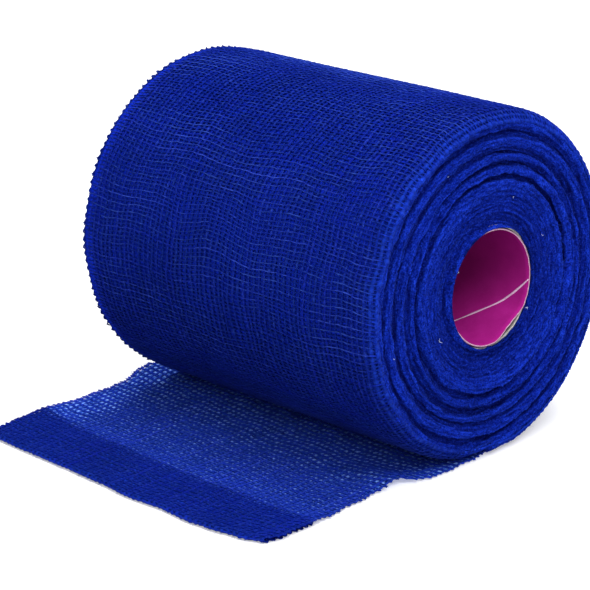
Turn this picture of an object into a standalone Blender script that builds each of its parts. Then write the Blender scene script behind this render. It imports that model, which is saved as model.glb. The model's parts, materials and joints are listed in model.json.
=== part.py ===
"""Cohesive bandage roll.

A length of elastic open-weave gauze wound on a short paper core, lying on its side.
The wound turns are one solid with stepped end faces. The outer turn leaves the
underside of the roll and lies out flat as the loose end, its cut end folded under.

Frame: metres, +Z up, roll axis along Y, loose end towards -X. The origin is at the
centre of the underside of the whole part. Angles round the roll are counted from its
lowest line towards +X.
"""

import math

import bmesh
import bpy

MM = 0.001

# Driving dimensions
ROLL_RADIUS = 43.7 * MM  # mean radius of the outer turn
ROLL_HALF = 50.0 * MM  # half the width of the wound bandage
CLOTH = 1.0 * MM  # one layer of crinkled cloth, and the spiral's rise in one turn
CLEARANCE = 0.3 * MM  # between pieces that touch
ROLL_SAG = 0.8 * MM  # how far the underside is pressed flat
BORE_IN_CLOTH = 15.6 * MM  # radius of the hole the core fills
CORE_HALF = 49.2 * MM  # half the core's length, a little inside the end faces
BOARD_RADIUS = 14.8 * MM  # inner radius of the board ply
BOARD_WALL = 0.5 * MM
LINER_RADIUS = 14.2 * MM  # inner radius of the coloured ply
LINER_WALL = 0.35 * MM
LINER_PULL = 1.3 * MM  # how far the coloured ply stands off at the -Y end
LINER_PULL_ANGLE = 32.0  # where, in degrees
LINER_PULL_SPREAD = 26.0  # half of the angle it covers
LINER_PULL_DEPTH = 32.0 * MM  # how far into the bore it runs
FOLD_SPACE = 0.4 * MM  # between the two layers of the folded end
TAIL_START = -1.0 * MM  # the loose end begins just behind the roll's lowest line

# The roll's axis, seen from the origin
ROLL_X = 16.60 * MM
ROLL_Y = -3.96 * MM
AXIS_Z = ROLL_RADIUS + CLOTH / 2 - ROLL_SAG

ROUND = 64  # steps round the roll
CORE_ROUND = 48
TAIL_ACROSS = 16  # steps across the loose end

# The -Y end face, from the core outwards: groups of turns that stand out at their outer
# edge and fall back inwards. Columns: share of the roll's radius, mm set back from the
# end plane, mm that the radius wanders round the roll, and the angle it wanders from.
NEAR_STEPS = (
    ("turn round the core", 0.368, 0.5, 0.00, 0),
    ("valley", 0.400, 2.0, 0.05, 20),
    ("packed turns", 0.490, 1.7, 0.15, 60),
    ("crest", 0.581, 0.5, 0.25, 130),
    ("valley", 0.598, 1.8, 0.25, 130),
    ("crest", 0.650, 0.5, 0.30, 210),
    ("valley", 0.668, 1.8, 0.30, 210),
    ("crest", 0.723, 0.4, 0.35, 280),
    ("valley", 0.741, 1.9, 0.35, 280),
    ("crest", 0.830, 0.2, 0.35, 340),
    ("valley", 0.848, 1.5, 0.35, 340),
    ("minor crest", 0.884, 0.9, 0.30, 40),
    ("rim crest", 0.936, 0.0, 0.20, 80),
    ("rim", 0.962, 1.1, 0.10, 80),
    ("last turn's edge", 0.988, 2.6, 0.00, 0),
)

# The +Y end face, from the last turn's edge inwards, in the same columns.
FAR_STEPS = (
    ("last turn's edge", 0.994, 3.2, 0.00, 0),
    ("rim", 0.984, 1.1, 0.05, 30),
    ("rim crest", 0.966, 0.0, 0.10, 30),
    ("valley", 0.880, 1.3, 0.30, 90),
    ("crest", 0.862, 0.4, 0.30, 90),
    ("valley", 0.750, 1.8, 0.35, 190),
    ("crest", 0.732, 0.7, 0.35, 190),
    ("valley", 0.610, 1.9, 0.30, 300),
    ("crest", 0.592, 0.9, 0.30, 300),
    ("packed turns", 0.440, 1.8, 0.10, 10),
    ("turn round the core", 0.368, 0.6, 0.00, 0),
)

# The outer surface between the two. Columns: mm along the axis, and mm proud.
OUTER_RINGS = (
    ("-Y shoulder", -45.8, 0.00),
    ("-Y third", -18.0, 0.12),
    ("+Y third", 16.0, -0.05),
    ("+Y shoulder", 43.0, 0.00),
)

# The loose end's two selvedges in plan, in mm from the roll's axis, going away from it.
SELVEDGES = (
    # x, y of the -Y selvedge, y of the +Y selvedge
    (0.0, -47.0, 57.0),
    (-8.0, -47.9, 57.8),
    (-14.0, -48.0, 58.0),
    (-20.0, -47.7, 57.2),
    (-24.0, -46.4, 56.3),
    (-28.0, -43.9, 55.6),
    (-34.0, -43.4, 55.1),
    (-42.0, -43.9, 55.0),
    (-52.0, -44.7, 55.3),
    (-60.0, -45.3, 55.1),
    (-68.0, -45.1, 54.6),
    (-76.0, -42.9, 54.2),
)

# The fold and the hidden cut end, across the cloth from its -Y selvedge.
END_EDGE = (
    # share of the width, x of the fold, x of the cut end, in mm from the roll's axis
    (0.00, -73.9, -58.6),
    (0.05, -75.6, -58.9),
    (0.15, -76.9, -59.1),
    (0.22, -77.2, -59.2),
    (0.32, -76.5, -59.2),
    (0.42, -77.1, -58.9),
    (0.55, -76.0, -58.7),
    (0.70, -75.4, -58.0),
    (0.85, -75.0, -56.8),
    (0.95, -74.6, -55.0),
    (1.00, -73.8, -53.8),
)

# Where the single layer stands off the table.
LIFTS = (
    # x, y of the middle in mm from the roll's axis, mm along X and Y, mm high
    ("buckle where the selvedge steps out", -29.0, -43.0, 5.0, 9.0, 1.3),
    ("slack beside the roll", -17.0, 58.0, 6.0, 10.0, 1.2),
    ("soft ripple", -38.0, 20.0, 6.0, 22.0, 0.35),
)


def eased(rows, at, column):
    """The table's value at a place, eased from one row to the next."""
    rows = sorted(rows)
    if at <= rows[0][0]:
        return rows[0][column]
    for low, high in zip(rows, rows[1:]):
        if at <= high[0]:
            t = (at - low[0]) / (high[0] - low[0])
            t = t * t * (3 - 2 * t)
            return low[column] + (high[column] - low[column]) * t
    return rows[-1][column]


def ramp(value, low, high):
    t = min(max((value - low) / (high - low), 0.0), 1.0)
    return t * t * (3 - 2 * t)


def material(name, colour, roughness):
    made = bpy.data.materials.new(name)
    made.use_nodes = True
    shader = made.node_tree.nodes["Principled BSDF"]
    shader.inputs["Base Color"].default_value = (*colour, 1.0)
    shader.inputs["Roughness"].default_value = roughness
    shader.inputs["Metallic"].default_value = 0.0
    return made


def add(name, bm, parent, colour, roughness, smooth=35.0):
    bmesh.ops.recalc_face_normals(bm, faces=bm.faces)
    mesh = bpy.data.meshes.new(name)
    bm.to_mesh(mesh)
    bm.free()
    mesh.shade_smooth()
    mesh.set_sharp_from_angle(angle=math.radians(smooth))
    made = bpy.data.objects.new(name, mesh)
    made.data.materials.append(material(name, colour, roughness))
    made.parent = parent
    bpy.context.scene.collection.objects.link(made)
    return made


def outer_radius(angle):
    """The outer turn's radius: it rises by one layer from the end of the turn to its start."""
    uneven = 0.08 * math.sin(3 * angle + 1.0) - 0.20 * math.sin(angle)
    return ROLL_RADIUS + CLOTH * (0.5 - angle / (2 * math.pi)) + uneven * MM


def roll_profile():
    """The closed section of the wound turns as (share of the radius, y, wander, phase)."""
    bore = BORE_IN_CLOTH / ROLL_RADIUS
    points = [(bore, -(ROLL_HALF - 0.9 * MM), 0.0, 0.0)]
    for _, share, back, wander, phase in NEAR_STEPS:
        points.append((share, -(ROLL_HALF - back * MM), wander * MM, phase))
    for _, along, proud in OUTER_RINGS:
        points.append((1.0 + proud * MM / ROLL_RADIUS, along * MM, 0.0, 0.0))
    for _, share, back, wander, phase in FAR_STEPS:
        points.append((share, ROLL_HALF - back * MM, wander * MM, phase))
    points.append((bore, ROLL_HALF - 0.9 * MM, 0.0, 0.0))
    return points


def settle(share, y, wander, phase, angle):
    """A point of the section carried round the roll and pressed onto what lies under it."""
    outer = outer_radius(angle)
    radius = share * ROLL_RADIUS + (outer - ROLL_RADIUS) * ramp(share, 0.86, 0.99)
    radius += wander * math.sin(angle - math.radians(phase))
    x, z = radius * math.sin(angle), AXIS_Z - radius * math.cos(angle)
    under = CLOTH + CLEARANCE if angle > math.pi else 0.0
    z = max(z, under + 0.5 * max(outer - radius - 0.2 * MM, 0.0))
    # the packed turns are not quite even from one side of the roll to the other
    y += 0.25 * MM * math.sin(2 * angle + 30 * share) * ramp(share, 0.42, 0.6) * (
        1 - ramp(share, 0.90, 0.94)
    )
    # the last turns sit further in near the top of the -Y end
    if y < 0 and share > 0.97:
        y += 1.4 * MM * max(0.0, math.cos(angle - math.radians(150))) ** 2
    return x, y, z


def bandage_roll(parent):
    bm = bmesh.new()
    profile = roll_profile()
    verts = [bm.verts.new((0.0, y, -share)) for share, y, _, _ in profile]
    edges = [bm.edges.new((a, b)) for a, b in zip(verts, verts[1:] + verts[:1])]
    # The section goes once round the axis and stops just short of where it began, so
    # that the last turn can end in a step over the loose end.
    short = math.radians(0.7)
    bmesh.ops.spin(
        bm,
        geom=verts + edges,
        cent=(0, 0, 0),
        axis=(0, -1, 0),
        angle=2 * math.pi - short,
        steps=ROUND,
        use_merge=False,
        use_duplicate=False,
    )
    ends = [e for e in bm.edges if len(e.link_faces) == 1]
    bmesh.ops.bridge_loops(bm, edges=ends)
    near = {(round(y / MM, 3), round(share, 5)): (share, y, w, p) for share, y, w, p in profile}
    for vert in bm.verts:
        share = math.hypot(vert.co.x, vert.co.z)
        angle = math.atan2(vert.co.x, -vert.co.z) % (2 * math.pi)
        angle = 0.0 if angle > 2 * math.pi - short / 2 else angle
        key = min(
            near,
            key=lambda k: abs(k[0] * MM - vert.co.y) * 1000 + abs(k[1] - share) * 100,
        )
        vert.co = settle(*near[key], angle)
    return add("bandage_roll", bm, parent, (0.010, 0.035, 0.36), 0.95)


def tail_path(fold, cut):
    """Centreline of the loose end from under the roll to its hidden cut end, as (x, z)."""
    low = CLOTH / 2
    high = low + CLOTH + FOLD_SPACE
    turn = (high - low) / 2
    flat = (TAIL_START / MM, -6.0, -11.0, -15.0, -19.0, -23.0, -26.0, -29.0, -33.0, -38.0, -43.0, -47.5)
    path = [(x * MM, low) for x in flat]
    rise = ((6.0, 0.0), (4.2, 0.12), (2.6, 0.5), (1.0, 1.0), (-4.0, 1.0), (-9.0, 1.0))
    path += [(cut + x * MM, low + (high - low) * t) for x, t in rise]
    path += [(fold + x * MM, high) for x in (3.4, 1.6)]
    for degrees in (90, 54, 18, -18, -54, -90):
        a = math.radians(degrees)
        path.append((fold + 1.2 * MM - turn * math.cos(a), low + turn * (1.03 + math.sin(a))))
    path += [(fold + 3.4 * MM, low), ((fold + cut) / 2, low), (cut, low)]
    return path


def loose_end(parent):
    length = len(tail_path(-76 * MM, -58 * MM))
    bm = bmesh.new()
    bmesh.ops.create_grid(
        bm, x_segments=length - 1, y_segments=TAIL_ACROSS, size=0.5
    )
    for vert in bm.verts:
        step = round((vert.co.x + 0.5) * (length - 1))
        across = round((vert.co.y + 0.5) * TAIL_ACROSS) / TAIL_ACROSS
        fold = eased(END_EDGE, across, 1) * MM
        cut = eased(END_EDGE, across, 2) * MM
        x, z = tail_path(fold, cut)[step]
        near = eased(SELVEDGES, x / MM, 1) * MM
        far = eased(SELVEDGES, x / MM, 2) * MM
        y = near + (far - near) * across
        for _, px, py, wide, deep, high in LIFTS:
            if step < 14:
                away = ((x / MM - px) / wide) ** 2 + ((y / MM - py) / deep) ** 2
                if away < 6.0:
                    z += high * MM * math.exp(-away) * ramp(6.0 - away, 0.0, 3.0)
        vert.co = (x, y, z)
    made = add("loose_end", bm, parent, (0.012, 0.045, 0.42), 0.95)
    solid = made.modifiers.new("thickness", "SOLIDIFY")
    solid.thickness = CLOTH
    solid.offset = 0.0
    solid.use_even_offset = True
    return made


def tube(name, radius, wall, rings, parent, colour, shape=None):
    """An open cylinder along Y, given its wall outwards."""
    bm = bmesh.new()
    bmesh.ops.create_circle(bm, segments=CORE_ROUND, radius=radius)
    for vert in bm.verts:
        vert.co = (vert.co.x, rings[0], vert.co.y)
    edges = list(bm.edges)
    for here, there in zip(rings, rings[1:]):
        made = bmesh.ops.extrude_edge_only(bm, edges=edges)["geom"]
        bmesh.ops.translate(
            bm,
            vec=(0, there - here, 0),
            verts=[g for g in made if isinstance(g, bmesh.types.BMVert)],
        )
        edges = [g for g in made if isinstance(g, bmesh.types.BMEdge)]
    for vert in bm.verts:
        angle = math.atan2(vert.co.x, -vert.co.z)
        r = shape(angle, vert.co.y) if shape else radius
        vert.co = (r * math.sin(angle), vert.co.y, -r * math.cos(angle))
    made = add(name, bm, parent, colour, 0.7)
    made.location.z = AXIS_Z
    solid = made.modifiers.new("wall", "SOLIDIFY")
    solid.thickness = wall
    solid.offset = 1.0
    solid.use_even_offset = True
    return made


def liner_radius(angle, y):
    """The coloured ply's radius: it stands off the board over part of the -Y end."""
    off = math.degrees(angle) - LINER_PULL_ANGLE
    off = (off + 180) % 360 - 180
    if abs(off) >= LINER_PULL_SPREAD:
        return LINER_RADIUS
    depth = 1 - ramp(y + CORE_HALF, 0.0, LINER_PULL_DEPTH)
    across = math.cos(math.pi / 2 * off / LINER_PULL_SPREAD)
    return LINER_RADIUS - LINER_PULL * across**1.3 * depth


def main():
    for old in list(bpy.data.objects):
        bpy.data.objects.remove(old, do_unlink=True)
    axis = bpy.data.objects.new("roll_axis", None)
    axis.location = (ROLL_X, ROLL_Y, 0.0)
    bpy.context.scene.collection.objects.link(axis)
    bandage_roll(axis)
    loose_end(axis)
    tube(
        "core_tube",
        BOARD_RADIUS,
        BOARD_WALL,
        (-CORE_HALF, CORE_HALF),
        axis,
        (0.72, 0.68, 0.58),
    )
    tube(
        "core_liner",
        LINER_RADIUS,
        LINER_WALL,
        (-CORE_HALF, -43 * MM, -36 * MM, -28 * MM, -17 * MM, CORE_HALF),
        axis,
        (0.42, 0.008, 0.16),
        liner_radius,
    )


main()
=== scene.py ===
"""Looks of the cohesive bandage roll.

Open-weave cohesive gauze, dyed deep royal blue, wound on a short lined paper core. Every
yarn of the outer turn and of the loose end is modelled, over and under its neighbours.
The end faces are the selvedges of the wound turns, in shingled groups.

Lengths here are in millimetres from the roll's axis (ORIGIN) until a mesh is made.
Angles round the roll are counted from its lowest line towards +X.
"""

import json
import math

import bpy
import numpy as np
from mathutils import Matrix, Vector

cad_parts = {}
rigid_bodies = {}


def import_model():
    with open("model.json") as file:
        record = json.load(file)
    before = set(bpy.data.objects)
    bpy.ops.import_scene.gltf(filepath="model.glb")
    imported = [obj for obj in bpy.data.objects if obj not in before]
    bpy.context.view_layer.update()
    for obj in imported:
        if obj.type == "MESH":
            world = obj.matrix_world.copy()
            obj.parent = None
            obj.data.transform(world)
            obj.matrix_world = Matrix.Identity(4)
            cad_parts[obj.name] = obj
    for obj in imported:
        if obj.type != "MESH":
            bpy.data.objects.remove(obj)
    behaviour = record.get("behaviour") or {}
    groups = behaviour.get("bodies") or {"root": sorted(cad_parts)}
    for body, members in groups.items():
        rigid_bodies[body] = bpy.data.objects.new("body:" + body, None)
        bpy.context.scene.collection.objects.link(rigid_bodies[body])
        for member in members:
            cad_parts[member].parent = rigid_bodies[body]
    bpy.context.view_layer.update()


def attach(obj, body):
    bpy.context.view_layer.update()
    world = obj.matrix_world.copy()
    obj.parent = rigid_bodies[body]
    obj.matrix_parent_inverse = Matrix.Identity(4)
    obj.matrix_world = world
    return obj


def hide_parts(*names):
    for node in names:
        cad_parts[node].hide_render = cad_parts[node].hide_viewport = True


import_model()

MM = 0.001
ORIGIN = np.array((16.60, -3.96, 0.0))  # the roll's axis, from the frame's origin

# The same driving sizes as the construction
ROLL_RADIUS = 43.7
ROLL_HALF = 50.0
CLOTH = 1.0
CLEARANCE = 0.3
ROLL_SAG = 0.8
BORE_IN_CLOTH = 15.6
CORE_HALF = 49.2
BOARD_RADIUS = 14.8
BOARD_WALL = 0.5
LINER_RADIUS = 14.2
LINER_WALL = 0.35
LINER_PULL = 1.3
LINER_PULL_ANGLE = 32.0
LINER_PULL_SPREAD = 26.0
LINER_PULL_DEPTH = 32.0
AXIS_Z = ROLL_RADIUS + CLOTH / 2 - ROLL_SAG

# The weave
WARPS = 60  # yarns that run along the bandage
WEFT_PITCH = 1.015  # round the roll
# The outer turn leans over the -Y end on an arc, from this place along the cloth
SHOULDER_START = -45.7
SHOULDER_RADIUS = 5.2

# Share of the roll's radius, mm set back from the -Y end, and how it wanders
NEAR_STEPS = (
    (0.3420, -0.2, 0.00, 0),
    (0.3455, 0.5, 0.00, 0),
    (0.3500, 1.2, 0.00, 0),
    (0.3640, 2.1, 0.05, 20),
    (0.3850, 2.3, 0.05, 20),
    (0.4150, 1.7, 0.15, 20),
    (0.4400, 1.2, 0.20, 20),
    (0.4560, 1.7, 0.20, 20),
    (0.4850, 0.9, 0.25, 20),
    (0.5020, 1.4, 0.30, 20),
    (0.5300, 0.5, 0.35, 20),
    (0.5420, 0.8, 0.40, 20),
    (0.5640, 0.0, 0.45, 20),
    (0.5860, -0.2, 0.50, 20),
    (0.6110, 2.2, 0.50, 20),
    (0.6260, 2.2, 0.55, 5),
    (0.6640, -0.3, 0.70, 355),
    (0.6900, 2.1, 0.65, 350),
    (0.7030, 1.8, 0.45, 320),
    (0.7370, -0.1, 0.35, 300),
    (0.7620, 2.1, 0.35, 300),
    (0.7850, 1.7, 0.30, 310),
    (0.8330, -0.1, 0.30, 315),
    (0.8580, 2.2, 0.30, 315),
    (0.8680, 2.0, 0.25, 320),
    (0.8960, 0.7, 0.20, 330),
    (0.9250, 0.3, 0.10, 0),
    (0.9380, 0.50, 0.00, 0),
    (0.9535, 1.02, 0.00, 0),
    (0.9665, 1.70, 0.00, 0),
    (0.9762, 2.50, 0.00, 0),
    (0.9822, 3.35, 0.00, 0),
    (0.9838, 4.3, 0.00, 0),
)
FAR_STEPS = (
    (0.350, 0.2, 0.00, 0),
    (0.366, 0.3, 0.00, 0),
    (0.430, 2.3, 0.10, 10),
    (0.590, 0.8, 0.30, 300),
    (0.614, 2.5, 0.30, 300),
    (0.730, 0.6, 0.35, 190),
    (0.754, 2.6, 0.35, 190),
    (0.860, 0.6, 0.30, 90),
    (0.884, 2.0, 0.30, 90),
    (0.940, 0.6, 0.05, 30),
    (0.955, 0.8, 0.00, 0),
    (0.961, 1.1, 0.00, 0),
    (0.9645, 1.5, 0.00, 0),
    (0.968, 2.6, 0.00, 0),
    (0.970, 4.0, 0.00, 0),
)
OUTER_RINGS = ((-50.0, 0.0), (-45.8, 0.0), (-18.0, 0.12), (16.0, -0.05), (43.0, 0.0), (50.0, 0.0))

# The loose end: x, y of the -Y selvedge, y of the +Y selvedge
SELVEDGES = (
    (0.0, -47.0, 57.0),
    (-8.0, -47.9, 57.8),
    (-14.0, -48.0, 58.0),
    (-20.0, -47.7, 57.2),
    (-24.0, -46.4, 56.3),
    (-28.0, -43.9, 55.6),
    (-34.0, -43.4, 55.1),
    (-42.0, -43.9, 55.0),
    (-52.0, -44.7, 55.3),
    (-60.0, -45.3, 55.1),
    (-68.0, -45.1, 54.6),
    (-76.0, -42.9, 54.2),
)
# Share across from the -Y selvedge, x of the fold, x of the hidden cut end
END_EDGE = (
    (0.00, -73.9, -58.6),
    (0.05, -75.6, -58.9),
    (0.15, -76.9, -59.1),
    (0.22, -77.2, -59.2),
    (0.32, -76.5, -59.2),
    (0.42, -77.1, -58.9),
    (0.55, -76.0, -58.7),
    (0.70, -75.4, -58.0),
    (0.85, -75.0, -56.8),
    (0.95, -74.6, -55.0),
    (1.00, -73.8, -53.8),
)
# x, y, mm along X and Y, mm high
LIFTS = (
    (-29.0, -43.0, 5.0, 9.0, 1.3),
    (-17.0, 58.0, 6.0, 10.0, 1.2),
    (-38.0, 20.0, 6.0, 22.0, 0.35),
)
# Weft threads of the loose end counted from the fold, and mm from the fold to each
# at the -Y and the +Y selvedge
WEFT_PLACES = (
    (0.0, 0.0, 0.0),
    (10.5, 17.9, 18.4),
    (20.0, 35.5, 36.6),
    (31.0, 56.2, 58.6),
    (37.0, 67.7, 71.8),
    (41.0, 75.2, 74.4),
)
WEFTS_UNDER = 18  # half threads of the turned-under layer
WEFTS_OUT = 82


# ---------------------------------------------------------------- shape helpers
def ramp(value, low, high):
    t = np.clip((np.asarray(value, float) - low) / (high - low), 0.0, 1.0)
    return t * t * (3 - 2 * t)


def eased(rows, at, column):
    """The table's column at each place, eased from row to row."""
    rows = sorted(rows)
    x = np.array([r[0] for r in rows], float)
    v = np.array([r[column] for r in rows], float)
    at = np.clip(np.asarray(at, float), x[0], x[-1])
    i = np.clip(np.searchsorted(x, at, side="right") - 1, 0, len(x) - 2)
    t = (at - x[i]) / (x[i + 1] - x[i])
    t = t * t * (3 - 2 * t)
    return v[i] + (v[i + 1] - v[i]) * t


def straight(rows, at, column):
    """The table's column at each place, straight from row to row."""
    rows = sorted(rows)
    return np.interp(at, [r[0] for r in rows], [r[column] for r in rows])


def wander(seed, u, v, long_u, long_v, parts=9):
    """A smooth uneven field of about unit size, with waves of those lengths."""
    rng = np.random.default_rng(seed)
    total = 0.0
    for _ in range(parts):
        turn, size = rng.uniform(0, 2 * math.pi), rng.uniform(0.6, 1.5)
        total = total + np.sin(
            2 * math.pi * size * (math.cos(turn) * u / long_u + math.sin(turn) * v / long_v)
            + rng.uniform(0, 2 * math.pi)
        )
    return total / math.sqrt(parts / 2)


def unit(v):
    return v / np.maximum(np.linalg.norm(v, axis=-1, keepdims=True), 1e-9)


def outer_radius(a):
    uneven = 0.08 * np.sin(3 * a + 1.0) - 0.20 * np.sin(a)
    return ROLL_RADIUS + CLOTH * (0.5 - a / (2 * math.pi)) + uneven


def on_roll(a, y, deep):
    """The point at an angle and a place along the axis, that many mm inside the surface."""
    mid = outer_radius(a) + straight(OUTER_RINGS, y, 1)
    z = AXIS_Z - mid * np.cos(a)
    under = np.where(a > math.pi, CLOTH + CLEARANCE, 0.0)
    lifted = np.maximum(z, under) - z
    r = mid - deep
    return np.stack(
        [r * np.sin(a), y, AXIS_Z - r * np.cos(a) + lifted], -1
    )


# ---------------------------------------------------------------- mesh helpers
class Weave:
    """Collects tubes, and makes one joined mesh of them."""

    def __init__(self):
        self.co, self.quads, self.caps = [], [], []
        self.yarn_uv, self.rows, self.tone, self.pale, self.deep = [], [], [], [], []
        self.count = 0
        self.row_count = 0
        self.cap_rows = []

    def tubes(self, centre, side, up, half_w, half_h, sides, tone, pale, deep=0.0, crest=0.0, start=0.0, turn_rows=None):
        """centre, side and up are (tubes, points, 3). Each point has an oval section.
        tone, pale, deep and crest are one value, per tube, or per point. crest makes the
        tube's upper line paler, a painted highlight. deep is painted shade, and under 0 painted highlight."""
        m, p, _ = centre.shape
        a = 2 * math.pi * np.arange(sides) / sides + math.pi / 2
        ring = (
            centre[:, :, None, :]
            + side[:, :, None, :] * (np.cos(a)[None, None, :, None] * half_w[:, :, None, None])
            + up[:, :, None, :] * (np.sin(a)[None, None, :, None] * half_h[:, :, None, None])
        )
        self.co.append(ring.reshape(-1, 3))
        index = self.count + np.arange(m * p * sides).reshape(m, p, sides)
        here, there = index[:, :-1], index[:, 1:]
        quads = np.stack(
            [here, there, np.roll(there, -1, 2), np.roll(here, -1, 2)], -1
        )
        self.quads.append(quads.reshape(-1, 4))
        step = np.linalg.norm(np.diff(centre, axis=1), axis=-1)
        along = np.concatenate([np.zeros((m, 1)), np.cumsum(step, 1)], 1) / 10 + start
        around = np.arange(sides + 1) / sides
        u0 = np.broadcast_to(along[:, :-1, None], (m, p - 1, sides))
        u1 = np.broadcast_to(along[:, 1:, None], (m, p - 1, sides))
        v0 = np.broadcast_to(around[None, None, :-1], (m, p - 1, sides))
        v1 = np.broadcast_to(around[None, None, 1:], (m, p - 1, sides))
        self.yarn_uv.append(
            np.stack([np.stack([u0, v0], -1), np.stack([u1, v0], -1), np.stack([u1, v1], -1), np.stack([u0, v1], -1)], -2).reshape(-1, 4, 2)
        )
        if turn_rows is None:
            row = np.broadcast_to(self.row_count + np.arange(m)[:, None, None], (m, p - 1, sides))
            f = np.arange(p) / (p - 1)
            f0 = np.broadcast_to(f[None, :-1, None], (m, p - 1, sides))
            f1 = np.broadcast_to(f[None, 1:, None], (m, p - 1, sides))
            self.row_count += m
        else:  # one long spiral, laid out a turn to a row
            t = turn_rows
            row1 = np.floor(t[:-1] + 1e-9)
            row = np.broadcast_to((self.row_count + row1)[None, :, None], (m, p - 1, sides))
            f0 = np.broadcast_to((t[:-1] - row1)[None, :, None], (m, p - 1, sides))
            f1 = np.broadcast_to((t[1:] - row1)[None, :, None], (m, p - 1, sides))
            f1 = np.minimum(f1, 1.0)
            self.row_count += int(row1.max()) + 1
        self.rows.append(
            np.stack([np.stack([f0, row + 0.05 + 0.85 * v0], -1), np.stack([f1, row + 0.05 + 0.85 * v0], -1), np.stack([f1, row + 0.05 + 0.85 * v1], -1), np.stack([f0, row + 0.05 + 0.85 * v1], -1)], -2).reshape(-1, 4, 2)
        )
        self.caps.append(index[:, 0, :])
        self.cap_rows.append(row[:, 0, 0] + 0.92)
        self.caps.append(index[:, -1, ::-1])
        self.cap_rows.append(row[:, -1, 0] + 0.92)
        def spread(value):
            value = np.asarray(value, float)
            return value[:, :, None] if value.ndim == 2 else value.reshape(-1, 1, 1)

        lit = spread(crest) * np.sin(a).clip(0, 1)[None, None] ** 2
        for kept, value, more in ((self.tone, tone, 0), (self.pale, pale, lit), (self.deep, deep, 0)):
            kept.append((np.broadcast_to(spread(value), (m, p, sides)) + more).reshape(-1))
        self.count += m * p * sides

    def make(self, name, material):
        co = np.concatenate(self.co)
        quads = np.concatenate(self.quads)
        faces = [quads.reshape(-1)]
        totals = [np.full(len(quads), 4)]
        uvs = [np.concatenate(self.yarn_uv).reshape(-1, 2)]
        bake = [np.concatenate(self.rows).reshape(-1, 2)]
        for caps, rows in zip(self.caps, self.cap_rows):
            n = caps.shape[1]
            faces.append(caps.reshape(-1))
            totals.append(np.full(len(caps), n))
            a = 2 * math.pi * np.arange(n) / n
            spot = np.stack([0.5 + 0.4 * np.cos(a), 0.5 + 0.4 * np.sin(a)], -1)
            uvs.append(np.tile(spot * 0.1, (len(caps), 1)))
            first = np.stack([spot[:, 0] * 0.004, spot[:, 1] * 0.06], -1)
            bake.append((first[None] + np.stack([np.zeros(len(caps)), rows], -1)[:, None]).reshape(-1, 2))
        made = mesh(
            name, co, np.concatenate(faces), np.concatenate(totals), material,
            uv=np.concatenate(uvs), bake=np.concatenate(bake) / np.array([1.0, self.row_count]),
            tone=np.concatenate(self.tone), pale=np.concatenate(self.pale), deep=np.concatenate(self.deep),
        )
        return made


def mesh(name, co, corners, totals, materials, uv=None, bake=None, tone=None, pale=None, deep=None, slots=None, smooth=True):
    me = bpy.data.meshes.new(name)
    me.vertices.add(len(co))
    me.vertices.foreach_set("co", ((co + ORIGIN) * MM).astype(np.float32).ravel())
    me.loops.add(len(corners))
    me.loops.foreach_set("vertex_index", corners.astype(np.int32))
    me.polygons.add(len(totals))
    starts = np.concatenate([[0], np.cumsum(totals)[:-1]]).astype(np.int32)
    me.polygons.foreach_set("loop_start", starts)
    me.update(calc_edges=True)
    if smooth:
        me.shade_smooth()
    for map_name, values in (("yarn", uv), ("OFBake", bake)):
        if values is not None:
            layer = me.uv_layers.new(name=map_name)
            layer.uv.foreach_set("vector", np.clip(values, -50, 50).astype(np.float32).ravel())
    if uv is not None:
        me.uv_layers["yarn"].active_render = True
    for attribute, values in (("tone", tone), ("pale", pale), ("deep", deep)):
        if values is not None:
            made = me.attributes.new(attribute, "FLOAT", "POINT")
            made.data.foreach_set("value", values.astype(np.float32))
    for m in materials if isinstance(materials, (list, tuple)) else [materials]:
        me.materials.append(m)
    if slots is not None:
        me.polygons.foreach_set("material_index", slots.astype(np.int32))
    me.validate()
    made = bpy.data.objects.new(name, me)
    bpy.context.scene.collection.objects.link(made)
    return made


def grid(points, closed_u=False, closed_v=False):
    """Quads over a (u, v) lattice of points, facing u x v, as corners and totals."""
    nu, nv = points.shape[:2]
    index = np.arange(nu * nv).reshape(nu, nv)
    if closed_u:
        index = np.concatenate([index, index[:1]], 0)
    if closed_v:
        index = np.concatenate([index, index[:, :1]], 1)
    quads = np.stack([index[:-1, :-1], index[1:, :-1], index[1:, 1:], index[:-1, 1:]], -1)
    return quads.reshape(-1, 4)


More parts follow.
